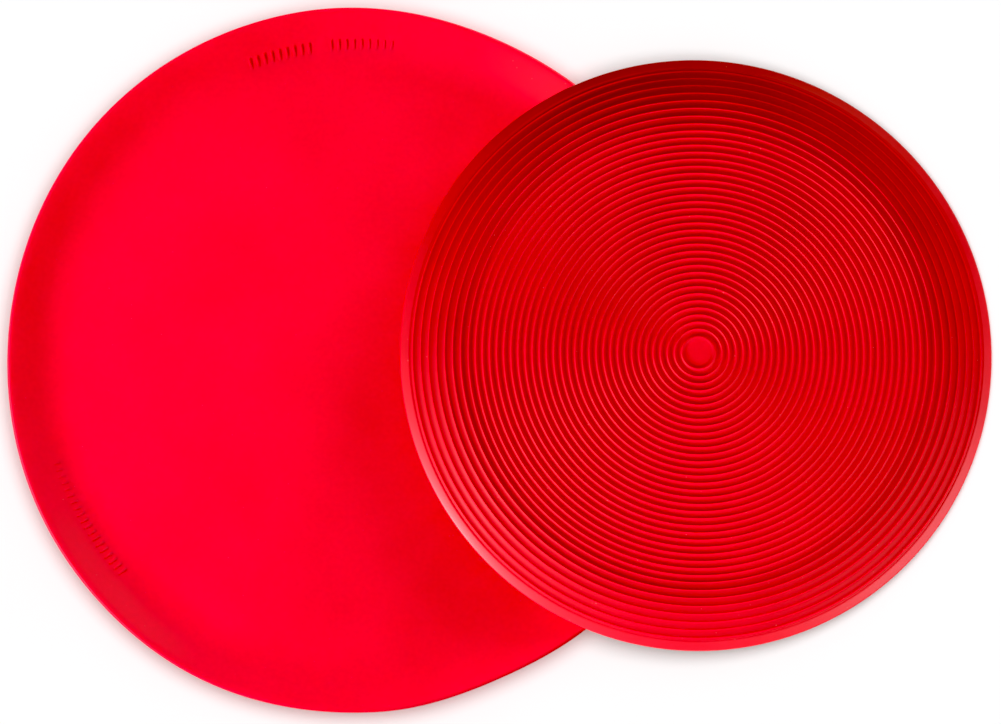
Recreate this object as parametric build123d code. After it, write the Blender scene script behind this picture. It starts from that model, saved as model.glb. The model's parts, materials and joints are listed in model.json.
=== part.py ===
from build123d import *
from math import atan2, cos, degrees, radians, sin, tan
import os

# A set of two round moulded silicone kitchen mats, one large and one small.
# Each mat is a shallow dish moulded in one piece: smooth inside, ringed all over underneath.
# The large mat stands on its rings, smooth side up, like a plate.
# The small mat lies upside down across its edge, rings up, and leans down to the table.
# Millimetres. The origin is on the table, under the middle of the set. +Z is up.

# Driving dimensions: the set
LARGE_DIAMETER = 305.0
SMALL_DIAMETER = 255.5
CENTRE_DISTANCE = 145.4   # in plan, from the large mat's centre to the small mat's
BEARING = 0.7             # degrees, direction of the small mat's centre from +X
CONTACT_GAP = 0.35        # clearance where the small mat rests on the large mat's lip

# Driving dimensions: the section that both mats share
WALL = 1.6                # smooth face to the bottom of the grooves
RING_HEIGHT = 0.7         # bottom of the grooves to the crests of the rings
CREST_WIDTH = 0.5         # flat land along each crest
BUTTON_RADIUS = 5.9       # plain round button in the middle
FIRST_RING = 7.2          # radius of the innermost ring
RING_PITCH = 3.06         # on the level floor
RIM_PITCH = 3.2           # on the raised rim
RIM_RINGS = 7
EDGE_GROOVE_WIDTH = 1.35  # last groove, between the outermost ring and the plain lip
EDGE_GROOVE_DEPTH = 0.4
RIM_WIDTH = 28.0          # raised rim, in plan
BEND_RADIUS = 34.0        # bend from the floor up to the rim, on the smooth face
RIM_SLOPE = radians(28)   # above level, from the bend out to the lip

THICKNESS = WALL + RING_HEIGHT
LIP_RADIUS = THICKNESS / 2
LIP_ROUNDING = LIP_RADIUS * (1 + sin(RIM_SLOPE))    # plan width of the full round edge
BEND_WIDTH = BEND_RADIUS * sin(RIM_SLOPE)
BEND_HEIGHT = BEND_RADIUS * (1 - cos(RIM_SLOPE))


def section_point(edge_radius, radius, depth):
    """A point of a mat's section: start on the smooth face at radius and go in, square to it, by depth."""
    reach = radius - (edge_radius - RIM_WIDTH)
    if reach <= 0:
        angle, height = 0.0, THICKNESS
    elif reach < BEND_WIDTH:
        angle = atan2(reach, (BEND_RADIUS ** 2 - reach ** 2) ** 0.5)
        height = THICKNESS + BEND_RADIUS * (1 - cos(angle))
    else:
        angle = RIM_SLOPE
        height = THICKNESS + BEND_HEIGHT + (reach - BEND_WIDTH) * tan(RIM_SLOPE)
    return radius + depth * sin(angle), height - depth * cos(angle)


def lip_height(edge_radius):
    """Height of the top of the lip above the crests that the mat stands on."""
    return section_point(edge_radius, edge_radius - LIP_ROUNDING, LIP_RADIUS)[1] + LIP_RADIUS


def ring_radii(floor_radius):
    """Radii of the crests, where the smooth face has them: even on the floor, wider on the rim."""
    floor_rings = int((floor_radius - FIRST_RING) / RING_PITCH) + 1
    radii = [FIRST_RING + RING_PITCH * i for i in range(floor_rings)]
    return radii + [radii[-1] + RIM_PITCH * (i + 1) for i in range(RIM_RINGS)]


def make_mat(edge_radius):
    """One mat the right way up, standing on its rings at Z = 0, about the Z axis."""
    floor_radius = edge_radius - RIM_WIDTH
    bend_end = floor_radius + BEND_WIDTH
    lip_start = edge_radius - LIP_ROUNDING
    half_crest = CREST_WIDTH / 2
    rings = ring_radii(floor_radius)

    def at(radius, depth):
        return section_point(edge_radius, radius, depth)

    lip_x, lip_z = at(lip_start, LIP_RADIUS)
    lip_tip = (lip_x + LIP_RADIUS * cos(RIM_SLOPE), lip_z + LIP_RADIUS * sin(RIM_SLOPE))
    bend_middle = (
        floor_radius + BEND_RADIUS * sin(RIM_SLOPE / 2),
        THICKNESS + BEND_RADIUS * (1 - cos(RIM_SLOPE / 2)),
    )
    edge_groove_start = rings[-1] + half_crest
    edge_groove_end = edge_groove_start + EDGE_GROOVE_WIDTH
    edge_groove_bottom = at(edge_groove_start + EDGE_GROOVE_WIDTH / 2, THICKNESS - EDGE_GROOVE_DEPTH)

    with BuildPart() as mat:
        with BuildSketch(Plane.XZ):
            with BuildLine():
                # Underside, from the centre out: plain button, then each ring's flat crest
                Line((0, RING_HEIGHT), (BUTTON_RADIUS, RING_HEIGHT))
                Line((BUTTON_RADIUS, RING_HEIGHT), at(FIRST_RING - half_crest, THICKNESS))
                for ring in rings:
                    Line(at(ring - half_crest, THICKNESS), at(ring + half_crest, THICKNESS))
                # A scooped groove from each ring to the next, and a narrow one before the lip
                for ring, next_ring in zip(rings, rings[1:]):
                    groove_bottom = at((ring + next_ring) / 2, WALL)
                    groove_end = at(next_ring - half_crest, THICKNESS)
                    ThreePointArc(at(ring + half_crest, THICKNESS), groove_bottom, groove_end)
                ThreePointArc(
                    at(edge_groove_start, THICKNESS), edge_groove_bottom, at(edge_groove_end, THICKNESS)
                )
                # Plain lip with a full round edge
                Line(at(edge_groove_end, THICKNESS), at(lip_start, THICKNESS))
                ThreePointArc(at(lip_start, THICKNESS), lip_tip, at(lip_start, 0))
                # Smooth face, from the lip in to the centre
                Line(at(lip_start, 0), at(bend_end, 0))
                ThreePointArc(at(bend_end, 0), bend_middle, at(floor_radius, 0))
                Line(at(floor_radius, 0), (0, THICKNESS))
                Line((0, THICKNESS), (0, RING_HEIGHT))
            make_face()
        revolve(axis=Axis.Z)
    return mat.part


large_radius, small_radius = LARGE_DIAMETER / 2, SMALL_DIAMETER / 2
large_mat = make_mat(large_radius)

# The tops of the two lips are circles that cross at two points, the same distance out along the
# centre line. The small mat rests there, and leans from there down to the table at its far edge.
large_lip, small_lip = large_radius - LIP_RADIUS, small_radius - LIP_RADIUS
crossing = (large_lip ** 2 - small_lip ** 2 + CENTRE_DISTANCE ** 2) / (2 * CENTRE_DISTANCE)
lean = atan2(lip_height(large_radius) + CONTACT_GAP, CENTRE_DISTANCE + small_lip - crossing)
small_mat = (
    Rot(0, 0, BEARING)
    * Pos(CENTRE_DISTANCE, 0, small_lip * sin(lean))
    * Rot(0, degrees(lean), 0)
    * Pos(0, 0, lip_height(small_radius))
    * Rot(180, 0, 0)
    * make_mat(small_radius)
)

middle_x = (small_mat.bounding_box().max.X - large_radius) / 2
centred = Pos(-middle_x, 0, 0)
os.makedirs("parts", exist_ok=True)
export_step(centred * large_mat, "parts/large_mat.step")
export_step(centred * small_mat, "parts/small_mat.step")
print(f"lean {degrees(lean):.3f} degrees, large mat's centre at X {-middle_x:.3f} mm")
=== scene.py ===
# %% [markdown]
# # A pair of silicone kitchen mats
# This file dresses a CAD model of two round red silicone mats in Blender. The large mat lies
# smooth side up like a shallow plate. The small one lies upside down across its edge, so its
# moulded rings show. The CAD model fixes every size and place. Here the two mats are turned
# again as fine meshes, because soft silicone wants smooth shading and rounded rings, and they
# get a silicone finish.
# The first step loads the CAD model as a frame. It brings in one object for each CAD node.

# %% Load the CAD frame
import json
from math import atan2, cos, degrees, pi, radians, sin, tan

import bpy
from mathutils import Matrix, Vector
from mathutils.kdtree import KDTree


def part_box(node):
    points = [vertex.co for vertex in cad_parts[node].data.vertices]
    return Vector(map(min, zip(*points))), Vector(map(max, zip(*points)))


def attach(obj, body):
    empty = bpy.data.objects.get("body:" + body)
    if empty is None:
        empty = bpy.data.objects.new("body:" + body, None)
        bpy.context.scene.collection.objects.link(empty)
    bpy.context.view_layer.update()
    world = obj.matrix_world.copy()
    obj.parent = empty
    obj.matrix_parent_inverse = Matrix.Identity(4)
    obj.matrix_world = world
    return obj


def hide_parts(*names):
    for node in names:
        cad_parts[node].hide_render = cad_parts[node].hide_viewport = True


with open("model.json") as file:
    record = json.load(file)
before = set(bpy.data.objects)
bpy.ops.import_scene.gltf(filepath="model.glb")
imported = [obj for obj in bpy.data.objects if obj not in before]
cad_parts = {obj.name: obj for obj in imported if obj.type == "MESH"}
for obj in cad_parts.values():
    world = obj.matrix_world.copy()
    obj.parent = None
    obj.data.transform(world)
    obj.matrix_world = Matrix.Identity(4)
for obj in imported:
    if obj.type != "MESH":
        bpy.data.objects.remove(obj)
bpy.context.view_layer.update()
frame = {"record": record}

# %% [markdown]
# ## Where the mats are
# Both mats are bodies of revolution, so a centre, a radius and a direction say where each one
# is. The large mat stands level, and its box gives its centre and radius. The small mat leans,
# and the record's pot_rest mount gives the direction square to its rings, and a point on them.

# %% Read the places from the frame
large_low, large_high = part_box("large_mat")
large_centre = Vector(((large_low.x + large_high.x) / 2, (large_low.y + large_high.y) / 2, 0))
large_radius = (large_high.x - large_low.x) / 2
mat_height = large_high.z

small_low, small_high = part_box("small_mat")
small_radius = (small_high.y - small_low.y) / 2
mounts = {mount["name"]: mount for mount in frame["record"]["mounts"]}
small_up = Vector(mounts["pot_rest"]["axis"]).normalized()
ring_point = Vector(mounts["pot_rest"]["pos_m"])
lean = atan2(Vector(small_up[:2]).length, small_up.z)
bearing = atan2(small_up.y, small_up.x)
print("large radius", round(large_radius, 4), "small radius", round(small_radius, 4))
print("the small mat leans", round(degrees(lean), 2), "degrees, towards", round(degrees(bearing), 2))

# %% [markdown]
# ## The section that both mats share
# Cut a mat through its middle and this is the shape of the cut: a level floor, a bend, a
# straight slope and a full round lip. The top face is smooth. The underside carries rings,
# and each groove between two crests is a scoop. A formula gives every point, so the ring
# count follows from the radius, and both mats match the CAD model.

# %% Section sizes, in metres
WALL = 0.0016
RING_HEIGHT = 0.0007
THICKNESS = WALL + RING_HEIGHT
BUTTON_RADIUS = 0.0059
FIRST_RING = 0.0072
RING_PITCH = 0.00306
RIM_PITCH = 0.0032
RIM_RINGS = 7
EDGE_GROOVE_WIDTH = 0.00135
EDGE_GROOVE_DEPTH = 0.0004
HALF_CREST = 0.00025
RIM_WIDTH = 0.028
BEND_RADIUS = 0.034
RIM_SLOPE = radians(28)
BEND_WIDTH = BEND_RADIUS * sin(RIM_SLOPE)
LIP_RADIUS = THICKNESS / 2
LIP_ROUNDING = LIP_RADIUS * (1 + sin(RIM_SLOPE))


def section_point(edge, radius, depth):
    """Start on the smooth face at a radius and go in, square to the face, by a depth."""
    reach = radius - (edge - RIM_WIDTH)
    if reach <= 0:
        angle, height = 0.0, THICKNESS
    elif reach < BEND_WIDTH:
        angle = atan2(reach, (BEND_RADIUS ** 2 - reach ** 2) ** 0.5)
        height = THICKNESS + BEND_RADIUS * (1 - cos(angle))
    else:
        angle = RIM_SLOPE
        bend_top = THICKNESS + BEND_RADIUS * (1 - cos(RIM_SLOPE))
        height = bend_top + (reach - BEND_WIDTH) * tan(RIM_SLOPE)
    return Vector((radius + depth * sin(angle), 0, height - depth * cos(angle)))


def ring_radii(edge):
    """Radii of the crests, evenly spaced on the floor and a little wider on the rim."""
    floor_rings = int((edge - RIM_WIDTH - FIRST_RING) / RING_PITCH) + 1
    radii = [FIRST_RING + RING_PITCH * i for i in range(floor_rings)]
    return radii + [radii[-1] + RIM_PITCH * (i + 1) for i in range(RIM_RINGS)]


print("rings:", len(ring_radii(large_radius)), "and", len(ring_radii(small_radius)))

# %% [markdown]
# The outline runs from the middle of the smooth face, out over the lip, and back along the
# ringed side to the middle. Points stand close together only where the surface turns fast:
# on the bend, round the lip and over each crest. A groove drops fast from the crest and then
# runs almost level, which leaves a narrow ridge between two wide grooves.

# %% Work out the outline of a section
def groove_depth(part):
    """Depth below the crest at a part of the way from one ring to the next, from 0 to 1."""
    return RING_HEIGHT * sin(pi * part) ** 0.6


def outline(edge, groove_parts):
    """Points of the section from the axis, along the smooth face, and back along the rings."""
    floor_edge = edge - RIM_WIDTH
    bend_end = floor_edge + BEND_WIDTH
    lip_start = edge - LIP_ROUNDING
    smooth_radii = [0.0, 0.004, 0.02, 0.045, 0.075, floor_edge - 0.012, floor_edge - 0.003]
    smooth_radii += [floor_edge + BEND_WIDTH * i / 8 for i in range(9)]
    smooth_radii += [bend_end + (lip_start - bend_end) * i / 4 for i in range(1, 5)]
    points = [section_point(edge, radius, 0) for radius in smooth_radii]

    lip = section_point(edge, lip_start, LIP_RADIUS)
    for i in range(1, 8):
        turn = RIM_SLOPE + pi / 2 - pi * i / 8
        points.append(lip + LIP_RADIUS * Vector((cos(turn), 0, sin(turn))))

    rings = ring_radii(edge)
    groove_start = rings[-1] + HALF_CREST
    groove_end = groove_start + EDGE_GROOVE_WIDTH
    points.append(section_point(edge, lip_start, THICKNESS))
    points.append(section_point(edge, groove_end + 0.0004, THICKNESS))
    for i in range(5):
        part = 1 - i / 4
        depth = THICKNESS - EDGE_GROOVE_DEPTH * sin(pi * part)
        points.append(section_point(edge, groove_start + EDGE_GROOVE_WIDTH * part, depth))
    for ring, inner in zip(rings[::-1], rings[-2::-1]):
        points.append(section_point(edge, ring, THICKNESS))
        for part in groove_parts:
            groove_radius = ring + (inner - ring) * part
            points.append(section_point(edge, groove_radius, THICKNESS - groove_depth(part)))
    points.append(section_point(edge, FIRST_RING, THICKNESS))
    points += [Vector((BUTTON_RADIUS + 0.0006, 0, RING_HEIGHT * 0.45))]
    points += [Vector((BUTTON_RADIUS, 0, RING_HEIGHT * 0.9))]
    points += [Vector((radius, 0, RING_HEIGHT)) for radius in (BUTTON_RADIUS - 0.0008, 0.003, 0)]
    return points


COARSE_PARTS = (0.05, 0.2, 0.5, 0.8, 0.95)
FINE_PARTS = (0.04, 0.12, 0.25, 0.5, 0.75, 0.88, 0.96)
print("outline points:", len(outline(large_radius, COARSE_PARTS)),
      "and", len(outline(small_radius, FINE_PARTS)))

# %% [markdown]
# ## Turning a mat
# A lathe would make this shape, and Spin is Blender's lathe. A plane is merged to one vertex,
# which is extruded from point to point to draw the section. Spin sweeps it through a quarter
# turn, and two Mirror modifiers make the other three quarters: that is much quicker than a
# whole turn, and every seam is welded. The normals are recalculated at the end, because a
# mirrored or spun wall can come out facing inwards.

# %% Turn one section into a mat
def start_clean():
    """Leave edit mode and deselect everything, so that an operator touches only the new piece."""
    if bpy.context.object and bpy.context.object.mode != "OBJECT":
        bpy.ops.object.mode_set(mode="OBJECT")
    bpy.ops.object.select_all(action="DESELECT")


def turn_mat(name, points, quarter_steps):
    """A closed round mat from its section, upright, on the Z axis."""
    start_clean()
    bpy.ops.mesh.primitive_plane_add(size=0.001, location=points[0])
    mat = bpy.context.object
    mat.name = name
    bpy.ops.object.transform_apply(location=True, rotation=False, scale=False)
    bpy.ops.object.mode_set(mode="EDIT")
    bpy.ops.mesh.select_mode(type="VERT")
    bpy.ops.mesh.select_all(action="SELECT")
    bpy.ops.mesh.merge(type="CENTER")
    for start, end in zip(points, points[1:]):
        bpy.ops.mesh.extrude_region_move(TRANSFORM_OT_translate={"value": end - start})
    bpy.ops.mesh.select_all(action="SELECT")
    bpy.ops.mesh.spin(steps=quarter_steps, angle=pi / 2, center=(0, 0, 0), axis=(0, 0, 1))
    bpy.ops.mesh.select_all(action="SELECT")
    bpy.ops.mesh.remove_doubles(threshold=1e-6)
    bpy.ops.object.mode_set(mode="OBJECT")
    for axis in (0, 1):
        mirror = mat.modifiers.new("other half", "MIRROR")
        mirror.use_axis = [i == axis for i in range(3)]
        mirror.merge_threshold = 1e-5
        bpy.ops.object.modifier_apply(modifier=mirror.name)
    bpy.ops.object.mode_set(mode="EDIT")
    bpy.ops.mesh.select_all(action="SELECT")
    bpy.ops.mesh.remove_doubles(threshold=1e-6)
    bpy.ops.mesh.normals_make_consistent(inside=False)
    bpy.ops.object.mode_set(mode="OBJECT")
    bpy.ops.object.shade_smooth()
    print(name, "has", len(mat.data.polygons), "faces")
    return mat


large_mat = turn_mat("large_silicone_mat", outline(large_radius, COARSE_PARTS), 68)
small_mat = turn_mat("small_silicone_mat", outline(small_radius, FINE_PARTS), 66)

# %% [markdown]
# Outside the last ring runs a plain band, which the mould left smoother than the rest. A point
# attribute called lip marks it: 1 on the band and 0 elsewhere. A second one called crest is 1
# on the top of every ring, 0 in the rim's grooves and a half in the floor's. The finish paints
# shade into the grooves with it, so that the rings can still be told apart where no lamp rakes
# them. It is painted shade, and not a dye that a real mat would have. A KD tree, which finds
# the nearest of many points quickly, gives each vertex its distance from the nearest crest.

# %% Mark the small mat's plain band and its crests
band_start = ring_radii(small_radius)[-1] + HALF_CREST + EDGE_GROOVE_WIDTH
lip_mark = small_mat.data.attributes.new("lip", "FLOAT", "POINT")
for vertex, mark in zip(small_mat.data.vertices, lip_mark.data):
    radius = Vector((vertex.co.x, vertex.co.y)).length
    mark.value = min(1, max(0, (radius - band_start) / 0.0004 + 0.5))
print("band from", round(band_start, 4), "to", round(small_radius, 4))

crests = ring_radii(small_radius)
nearest = KDTree(len(crests))
for i, ring in enumerate(crests):
    nearest.insert(section_point(small_radius, ring, THICKNESS), i)
nearest.balance()
# The crest attribute is the mask for painted shade: where it is low, the grooves are darkened.
crest_mark = small_mat.data.attributes.new("crest", "FLOAT", "POINT")
for vertex, mark in zip(small_mat.data.vertices, crest_mark.data):
    radius = Vector((vertex.co.x, vertex.co.y)).length
    away = nearest.find((radius, 0, vertex.co.z))[2]
    crest = min(1, max(0, (0.00055 - away) / 0.0003))
    floor = 0.5 * min(1, max(0, (small_radius - RIM_WIDTH - radius) / 0.004))
    mark.value = 1 if radius <= BUTTON_RADIUS else max(crest, floor)
print("vertices on a crest:", sum(mark.value > 0.5 for mark in crest_mark.data))

# %% [markdown]
# ## Putting the mats in place
# A finished piece keeps its object at the origin and has its place in its mesh, so the moves
# are made in edit mode. Rotate needs its pivot spelled out when Blender runs with no window,
# and there it turns the other way, so a helper hides both quirks.

# %% Move the mats to where the CAD model has them
def turn_mesh(piece, angle, axis, pivot=(0, 0, 0)):
    """Turn a piece's whole mesh by the right-hand rule about X, Y or Z."""
    start_clean()
    piece.select_set(True)
    bpy.context.view_layer.objects.active = piece
    bpy.ops.object.mode_set(mode="EDIT")
    bpy.ops.mesh.select_all(action="SELECT")
    bpy.ops.transform.rotate(value=-angle, orient_axis=axis, center_override=pivot)
    bpy.ops.object.mode_set(mode="OBJECT")


def shift_mesh(piece, offset):
    """Slide a piece's whole mesh."""
    start_clean()
    piece.select_set(True)
    bpy.context.view_layer.objects.active = piece
    bpy.ops.object.mode_set(mode="EDIT")
    bpy.ops.mesh.select_all(action="SELECT")
    bpy.ops.transform.translate(value=offset)
    bpy.ops.object.mode_set(mode="OBJECT")


lip_ring = small_radius - LIP_RADIUS
lip_centre = (small_low + small_high) / 2
lip_centre.z = small_low.z + lip_ring * sin(lean) + LIP_RADIUS

shift_mesh(large_mat, large_centre)
turn_mesh(small_mat, pi, "X")
shift_mesh(small_mat, (0, 0, mat_height - LIP_RADIUS))
turn_mesh(small_mat, lean, "Y")
turn_mesh(small_mat, bearing, "Z")
shift_mesh(small_mat, lip_centre)

crest_centre = lip_centre + small_up * (mat_height - LIP_RADIUS)
print("the mount's ring is off the rings' plane by", round((ring_point - crest_centre).dot(small_up), 6))
for name, piece in (("large_mat", large_mat), ("small_mat", small_mat)):
    corners = [min(v.co[i] for v in piece.data.vertices) for i in range(3)]
    corners += [max(v.co[i] for v in piece.data.vertices) for i in range(3)]

# %% [markdown]
# ## Soft edges
# Silicone this thin never stays a perfect circle. Where the small mat leans on the large one,
# the large mat's rim is drawn in a little. It is also a touch flat at the left and bulges at
# the front. A move with proportional editing does each: the lip goes the whole way, and the
# mesh round it follows less and less with distance.

# %% Draw the large rim in and out
def draw_in(piece, azimuth, amount, reach):
    """Pull a piece's lip towards the mat's centre at one azimuth."""
    direction = Vector((cos(azimuth), sin(azimuth), 0))
    lip = large_centre + direction * large_radius
    start_clean()
    piece.select_set(True)
    bpy.context.view_layer.objects.active = piece
    bpy.ops.object.mode_set(mode="EDIT")
    bpy.ops.mesh.select_all(action="DESELECT")
    bpy.ops.object.mode_set(mode="OBJECT")
    for vertex in piece.data.vertices:
        flat = Vector((vertex.co.x, vertex.co.y, 0))
        vertex.select = (flat - lip).length < 0.003
    bpy.ops.object.mode_set(mode="EDIT")
    bpy.ops.transform.translate(value=direction * -amount, use_proportional_edit=True,
                                proportional_edit_falloff="SMOOTH", proportional_size=reach)
    bpy.ops.object.mode_set(mode="OBJECT")
    print("drawn in by", amount, "m at", round(degrees(azimuth)), "degrees")


draw_in(large_mat, radians(-66), 0.0018, 0.055)
draw_in(large_mat, radians(64), 0.0018, 0.09)
draw_in(large_mat, radians(174), 0.0016, 0.13)
draw_in(large_mat, radians(-116), -0.0012, 0.075)

# %% [markdown]
# ## Moulded bars on the large rim
# The mould leaves low raised marks on the smooth rim. Here they are plain rows of equal bars,
# like a grip pattern. Each bar is a ball squashed to a low pill and sunk halfway into the
# slope, and all of them are joined to the mat, since they are one piece of silicone with it.

# %% Raise the bars
BAR_WIDTH = 0.0013
BAR_HEIGHT = 0.00007


def raise_bars(first, last, count, radius, length):
    """A row of bars that point at the mat's centre, between two azimuths in degrees."""
    bars = []
    for i in range(count):
        azimuth = radians(first + (last - first) * i / (count - 1))
        middle = section_point(large_radius, radius, 0)
        start_clean()
        bpy.ops.mesh.primitive_uv_sphere_add(segments=16, ring_count=10, radius=1)
        bar = bpy.context.object
        bar.scale = (length / 2, BAR_WIDTH / 2, BAR_HEIGHT)
        bar.rotation_euler = (0, -RIM_SLOPE, azimuth)
        bar.location = large_centre + Vector((middle.x * cos(azimuth), middle.x * sin(azimuth), middle.z))
        bpy.ops.object.transform_apply(location=True, rotation=True, scale=True)
        bpy.ops.object.shade_smooth()
        bars.append(bar)
    return bars


bars = raise_bars(84, 95, 9, 0.1345, 0.0105)
bars += raise_bars(99, 110, 9, 0.1345, 0.0105)
bars += raise_bars(199, 222, 19, 0.1345, 0.0085)
start_clean()
for bar in bars:
    bar.select_set(True)
large_mat.select_set(True)
bpy.context.view_layer.objects.active = large_mat
bpy.ops.object.join()
print("bars joined:", len(bars), "faces now", len(large_mat.data.polygons))

# %% [markdown]
# ## Shared effects
# Both finishes use the same three effects, so each effect is a node group: a recipe that is
# written once and placed in as many materials as want it. The helper below makes a group with
# its sockets. The groups work on object coordinates, which are metres here, so a scale of
# 1000 makes cells of about a millimetre.

# %% A helper for node groups
def new_group(name, inputs, outputs):
    """An empty node group with float, vector or colour sockets."""
    group = bpy.data.node_groups.new(name, "ShaderNodeTree")
    for socket, kind in inputs:
        group.interface.new_socket(name=socket, in_out="INPUT", socket_type=kind)
    for socket, kind in outputs:
        group.interface.new_socket(name=socket, in_out="OUTPUT", socket_type=kind)
    return group, group.nodes.new("NodeGroupInput"), group.nodes.new("NodeGroupOutput")


def add_noise(tree, scale, detail, roughness):
    """A noise texture node."""
    noise = tree.nodes.new("ShaderNodeTexNoise")
    noise.inputs["Scale"].default_value = scale
    noise.inputs["Detail"].default_value = detail
    noise.inputs["Roughness"].default_value = roughness
    return noise


def add_range(tree, source, low, high, to_low, to_high):
    """A map range node that turns one span of values into another."""
    span = tree.nodes.new("ShaderNodeMapRange")
    for name, value in (("From Min", low), ("From Max", high), ("To Min", to_low), ("To Max", to_high)):
        span.inputs[name].default_value = value
    tree.links.new(source, span.inputs["Value"])
    return span


print("helpers ready")

# %% [markdown]
# Mottling: a mat that has been washed and handled is never one even tone. A broad noise and a
# fine one add up to a value near 1, which multiplies the colour and also shifts the roughness.

# %% Group 1, mottling
mottling, group_in, group_out = new_group(
    "mottling", [("Vector", "NodeSocketVector")], [("Tone", "NodeSocketFloat"), ("Wear", "NodeSocketFloat")])
broad = add_noise(mottling, 22, 3, 0.55)
fine = add_noise(mottling, 420, 4, 0.6)
mottling.links.new(group_in.outputs["Vector"], broad.inputs["Vector"])
mottling.links.new(group_in.outputs["Vector"], fine.inputs["Vector"])
broad_tone = add_range(mottling, broad.outputs["Fac"], 0.3, 0.7, 0.93, 1.05)
fine_tone = add_range(mottling, fine.outputs["Fac"], 0.3, 0.7, 0.97, 1.03)
product = mottling.nodes.new("ShaderNodeMath")
product.operation = "MULTIPLY"
mottling.links.new(broad_tone.outputs["Result"], product.inputs[0])
mottling.links.new(fine_tone.outputs["Result"], product.inputs[1])
mottling.links.new(product.outputs["Value"], group_out.inputs["Tone"])
wear = add_range(mottling, broad.outputs["Fac"], 0.3, 0.7, 0, 1)
mottling.links.new(wear.outputs["Result"], group_out.inputs["Wear"])
print("group", mottling.name)

# %% [markdown]
# Lint: silicone is a little tacky and holds on to dust. A Voronoi texture gives each cell a
# random colour and the distance to its seed. Only cells whose random value is high enough
# keep a speck, and the speck is the small disc round the seed.

# %% Group 2, lint
lint, group_in, group_out = new_group(
    "lint", [("Vector", "NodeSocketVector")], [("Mask", "NodeSocketFloat")])
cells = lint.nodes.new("ShaderNodeTexVoronoi")
cells.inputs["Scale"].default_value = 620
lint.links.new(group_in.outputs["Vector"], cells.inputs["Vector"])
speck = add_range(lint, cells.outputs["Distance"], 0.1, 0.22, 1, 0)
split = lint.nodes.new("ShaderNodeSeparateColor")
lint.links.new(cells.outputs["Color"], split.inputs["Color"])
chosen = add_range(lint, split.outputs["Red"], 0.96, 0.99, 0, 1)
both = lint.nodes.new("ShaderNodeMath")
both.operation = "MULTIPLY"
lint.links.new(speck.outputs["Result"], both.inputs[0])
lint.links.new(chosen.outputs["Result"], both.inputs[1])
lint.links.new(both.outputs["Value"], group_out.inputs["Mask"])
print("group", lint.name)

# %% [markdown]
# Mould grain: the steel mould was blasted matt, and the silicone copies it. A bump node turns
# a very fine noise into tilted normals. It is a few hundredths of a millimetre deep, so it
# breaks up the highlight and no more.

# %% Group 3, mould grain
grain, group_in, group_out = new_group(
    "mould grain", [("Vector", "NodeSocketVector"), ("Depth", "NodeSocketFloat")],
    [("Normal", "NodeSocketVector")])
pits = add_noise(grain, 1900, 3, 0.6)
grain.links.new(group_in.outputs["Vector"], pits.inputs["Vector"])
bump = grain.nodes.new("ShaderNodeBump")
bump.inputs["Strength"].default_value = 0.6
grain.links.new(group_in.outputs["Depth"], bump.inputs["Distance"])
grain.links.new(pits.outputs["Fac"], bump.inputs["Height"])
grain.links.new(bump.outputs["Normal"], group_out.inputs["Normal"])
print("group", grain.name)

# %% [markdown]
# ## The silicone
# Food-grade silicone is dyed through, so its colour comes from below the surface and hardly
# fades at the edges. Its skin is satin: a wide, weak highlight. The base is a deep saturated
# red, the specular level is low so that the red stays red, and a little light scatters under
# the skin. It is one material in three finishes: the large mat's is the smoothest, the small
# mat's is rougher and has painted shade in its grooves, and the plain band round the small mat
# is shinier. Their reds differ in strength only to suit how each is lit, lightest on the large
# mat and darkest on the band: that is painted light and shade on one silicone.

# %% Make the three silicone finishes
def make_silicone(name, colour, rough_low, rough_high, depth, glow, shine=0.22, groove=1):
    """Dyed satin silicone with mottling, lint, mould grain and painted shade in the grooves where the crest
    attribute is low.
    """
    material = bpy.data.materials.new(name)
    material.use_nodes = True
    tree = material.node_tree
    shader = tree.nodes["Principled BSDF"]
    shader.inputs["Specular IOR Level"].default_value = shine
    shader.inputs["IOR"].default_value = 1.41
    shader.inputs["Subsurface Weight"].default_value = glow
    shader.inputs["Subsurface Radius"].default_value = (1.0, 0.05, 0.05)
    shader.inputs["Subsurface Scale"].default_value = 0.002
    place = tree.nodes.new("ShaderNodeTexCoord")

    effects = {}
    for group in (mottling, lint, grain):
        node = tree.nodes.new("ShaderNodeGroup")
        node.node_tree = group
        tree.links.new(place.outputs["Object"], node.inputs["Vector"])
        effects[group.name] = node
    effects["mould grain"].inputs["Depth"].default_value = depth
    tree.links.new(effects["mould grain"].outputs["Normal"], shader.inputs["Normal"])

    dyed = tree.nodes.new("ShaderNodeVectorMath")
    dyed.operation = "SCALE"
    dyed.inputs[0].default_value = colour
    # Painted shade: where the crest attribute is 0, in the grooves, the colour is scaled down to the groove
    # value.
    crest = tree.nodes.new("ShaderNodeAttribute")
    crest.attribute_name = "crest"
    painted_groove_shade = add_range(tree, crest.outputs["Fac"], 0, 1, groove, 1)
    tone = tree.nodes.new("ShaderNodeMath")
    tone.operation = "MULTIPLY"
    tree.links.new(effects["mottling"].outputs["Tone"], tone.inputs[0])
    tree.links.new(painted_groove_shade.outputs["Result"], tone.inputs[1])
    tree.links.new(tone.outputs["Value"], dyed.inputs["Scale"])
    dusty = tree.nodes.new("ShaderNodeMix")
    dusty.data_type = "RGBA"
    dusty.inputs["B"].default_value = (0.85, 0.3, 0.32, 1)
    amount = add_range(tree, effects["lint"].outputs["Mask"], 0, 1, 0, 0.2)
    tree.links.new(amount.outputs["Result"], dusty.inputs["Factor"])
    tree.links.new(dyed.outputs["Vector"], dusty.inputs["A"])
    tree.links.new(dusty.outputs["Result"], shader.inputs["Base Color"])
    rough = add_range(tree, effects["mottling"].outputs["Wear"], 0, 1, rough_low, rough_high)
    tree.links.new(rough.outputs["Result"], shader.inputs["Roughness"])
    return material


# The reds differ in strength only to suit how each surface is lit: 0.92 on the large mat, 0.76 on the small
# one and 0.62 on its band. This is painted light and shade on one silicone.
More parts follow.
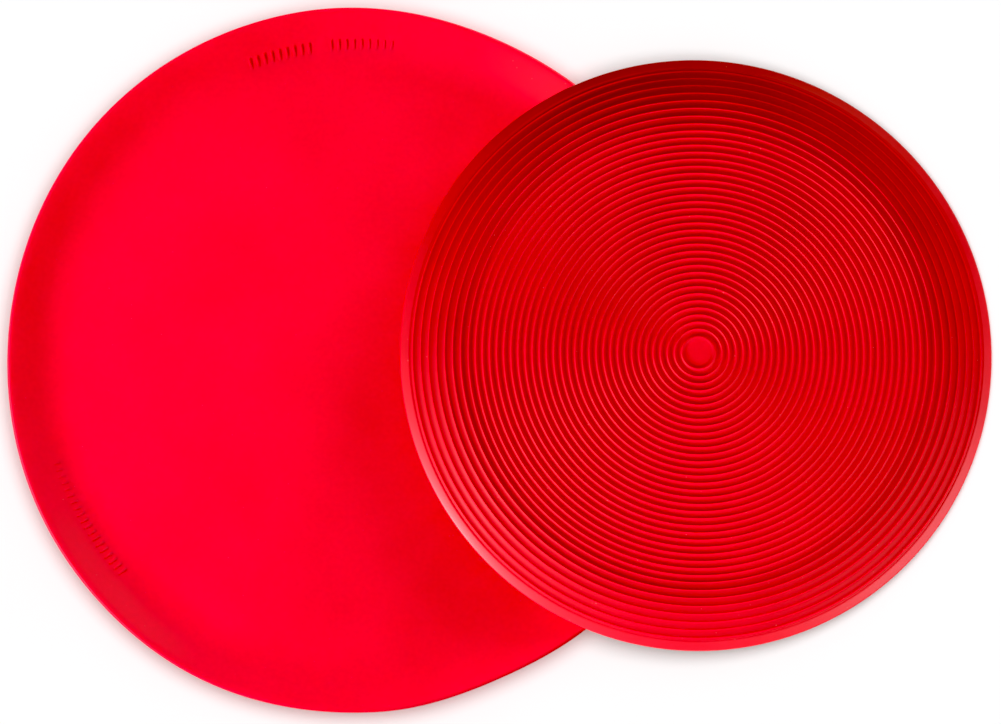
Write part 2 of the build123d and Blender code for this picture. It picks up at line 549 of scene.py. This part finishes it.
smooth_red = make_silicone("smooth_red_silicone", (0.92, 0.006, 0.055), 0.46, 0.56, 0.00002, 0.25)
ringed_red = make_silicone("ringed_red_silicone", (0.76, 0.006, 0.038), 0.52, 0.62, 0.00003, 0.1,
                           groove=0.66)
lip_red = make_silicone("lip_red_silicone", (0.62, 0.006, 0.031), 0.42, 0.50, 0.00003, 0.1, shine=0.45)
for piece, finishes in ((large_mat, [smooth_red]), (small_mat, [ringed_red, lip_red])):
    piece.data.materials.clear()
    for finish in finishes:
        piece.data.materials.append(finish)
    print(piece.name, "wears", [finish.name for finish in finishes])

marks = small_mat.data.attributes["lip"].data
for face in small_mat.data.polygons:
    face.material_index = int(all(marks[i].value > 0.5 for i in face.vertices))
print("faces on the band:", sum(face.material_index for face in small_mat.data.polygons))

# %% [markdown]
# ## Put the new meshes on the bodies
# Each turned mat stands for one CAD node and rides on the body that the node belongs to. The
# CAD nodes are then hidden.

# %% Ride and replace
for piece, body, node, slot in ((large_mat, "large", "large_mat", "large_mat_silicone"),
                                (small_mat, "small", "small_mat", "small_mat_silicone")):
    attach(piece, body)
    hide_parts(node)

# %% [markdown]
# ## The table and the light
# The mats lie on a pale table under soft studio light. The table is a wide disc that reaches
# the horizon, with a faint unevenness so that it isn't one flat tone.

# %% Lay the table
start_clean()
bpy.ops.mesh.primitive_circle_add(vertices=96, radius=30, fill_type="NGON", location=(0, 0, -0.0002))
table = bpy.context.object
table.name = "table"
paper = bpy.data.materials.new("pale_table")
paper.use_nodes = True
paper_shader = paper.node_tree.nodes["Principled BSDF"]
paper_shader.inputs["Roughness"].default_value = 0.8
paper_shader.inputs["Specular IOR Level"].default_value = 0.1
paper_place = paper.node_tree.nodes.new("ShaderNodeTexCoord")
paper_noise = add_noise(paper.node_tree, 6, 3, 0.5)
paper.node_tree.links.new(paper_place.outputs["Object"], paper_noise.inputs["Vector"])
paper_ramp = paper.node_tree.nodes.new("ShaderNodeValToRGB")
paper_ramp.color_ramp.elements[0].color = (0.86, 0.86, 0.86, 1)
paper_ramp.color_ramp.elements[1].color = (0.9, 0.9, 0.9, 1)
paper.node_tree.links.new(paper_noise.outputs["Fac"], paper_ramp.inputs["Fac"])
paper.node_tree.links.new(paper_ramp.outputs["Color"], paper_shader.inputs["Base Color"])
table.data.materials.append(paper)
print("table laid at", round(table.location.z, 5))

# %% [markdown]
# Six lights work together, and light linking gives each mat its own. The small mat has a key
# low at the front left, which rakes across the rings and gives the lip its pale edge, a wide
# fill at the right and a weak edge light at the back. The large mat has a slightly higher key
# at the left and a low fill at the back, which brightens its near slope. A broad wash from
# above lights the table alone, so that the table stays white without washing out the red. A
# real studio can't sort its light like that: the lamps were tuned until the picture looked
# right. The world gives a gentle fill, dark straight overhead, because that is what the flat
# faces mirror.

# %% Set the lights
def aim(thing, target):
    """Point a light or camera at a target."""
    thing.rotation_euler = (target - thing.location).to_track_quat("-Z", "Y").to_euler()


def light_only(light, name, pieces):
    """Link a light to a collection of receivers."""
    receivers = bpy.data.collections.new(name)
    for piece in pieces:
        receivers.objects.link(piece)
    light.light_linking.receiver_collection = receivers


def add_lamp(name, x, y, elevation, distance, size, energy, piece):
    """A round lamp that looks at the mats from a bearing and an elevation and lights one of them."""
    direction = Vector((x, y, tan(radians(elevation)))).normalized()
    bpy.ops.object.light_add(type="AREA", location=middle + direction * distance)
    lamp = bpy.context.object
    lamp.name = name
    lamp.data.shape = "DISK"
    lamp.data.size = size
    lamp.data.energy = energy
    aim(lamp, middle)
    light_only(lamp, "lit by " + name, [piece])


middle = Vector((0, 0, mat_height))
add_lamp("key", -0.788, -0.616, 20, 0.8, 0.2, 12.6, small_mat)
add_lamp("high_key", -0.94, -0.34, 27, 1.2, 0.35, 20.5, large_mat)
add_lamp("side_fill", 0.87, -0.49, 22, 1.0, 0.7, 8.8, small_mat)
add_lamp("edge_light", 0.64, 0.77, 34, 1.0, 0.4, 1.5, small_mat)
add_lamp("back_fill", 0.64, 0.77, 12, 1.0, 0.7, 12, large_mat)

bpy.ops.object.light_add(type="SUN", location=(0, 0, 2))
wash = bpy.context.object
wash.name = "table_wash"
wash.data.energy = 3.0
wash.data.angle = radians(70)
light_only(wash, "lit by the wash", [table])

world = bpy.data.worlds.new("studio")
bpy.context.scene.world = world
world.use_nodes = True
sky = world.node_tree.nodes["Background"]
sky.inputs["Color"].default_value = (1, 1, 1, 1)
sky_place = world.node_tree.nodes.new("ShaderNodeTexCoord")
sky_split = world.node_tree.nodes.new("ShaderNodeSeparateXYZ")
world.node_tree.links.new(sky_place.outputs["Generated"], sky_split.inputs["Vector"])
sky_level = add_range(world.node_tree, sky_split.outputs["Z"], 0.75, 0.98, 0.23, 0.08)
world.node_tree.links.new(sky_level.outputs["Result"], sky.inputs["Strength"])

# %% [markdown]
# ## The camera
# It looks down from almost straight above, from far away and with a long lens, so the round
# mats stay round and the raised middle of the small one hardly slides against its rim. The
# view's black level cuts off the faintest green and blue, which makes the red look purer than
# the finish alone would: it belongs to this picture, and not to the silicone.

# %% Set the camera
ELEVATION = radians(84.5)
DISTANCE = 5.0
target = Vector((0.0010, -0.0013, 0.010))
bpy.ops.object.camera_add(location=target + DISTANCE * Vector((0, -cos(ELEVATION), sin(ELEVATION))))
camera = bpy.context.object
camera.data.sensor_width = 36
camera.data.lens = 418
camera.data.clip_start = 0.05
camera.data.clip_end = 100
aim(camera, target)
bpy.context.scene.camera = camera
view = bpy.context.scene.view_settings
view.view_transform = "Standard"
view.use_curve_mapping = True
view.curve_mapping.black_level = (0, 0.022, 0.042)
view.curve_mapping.update()
print("camera at", [round(v, 3) for v in camera.location])
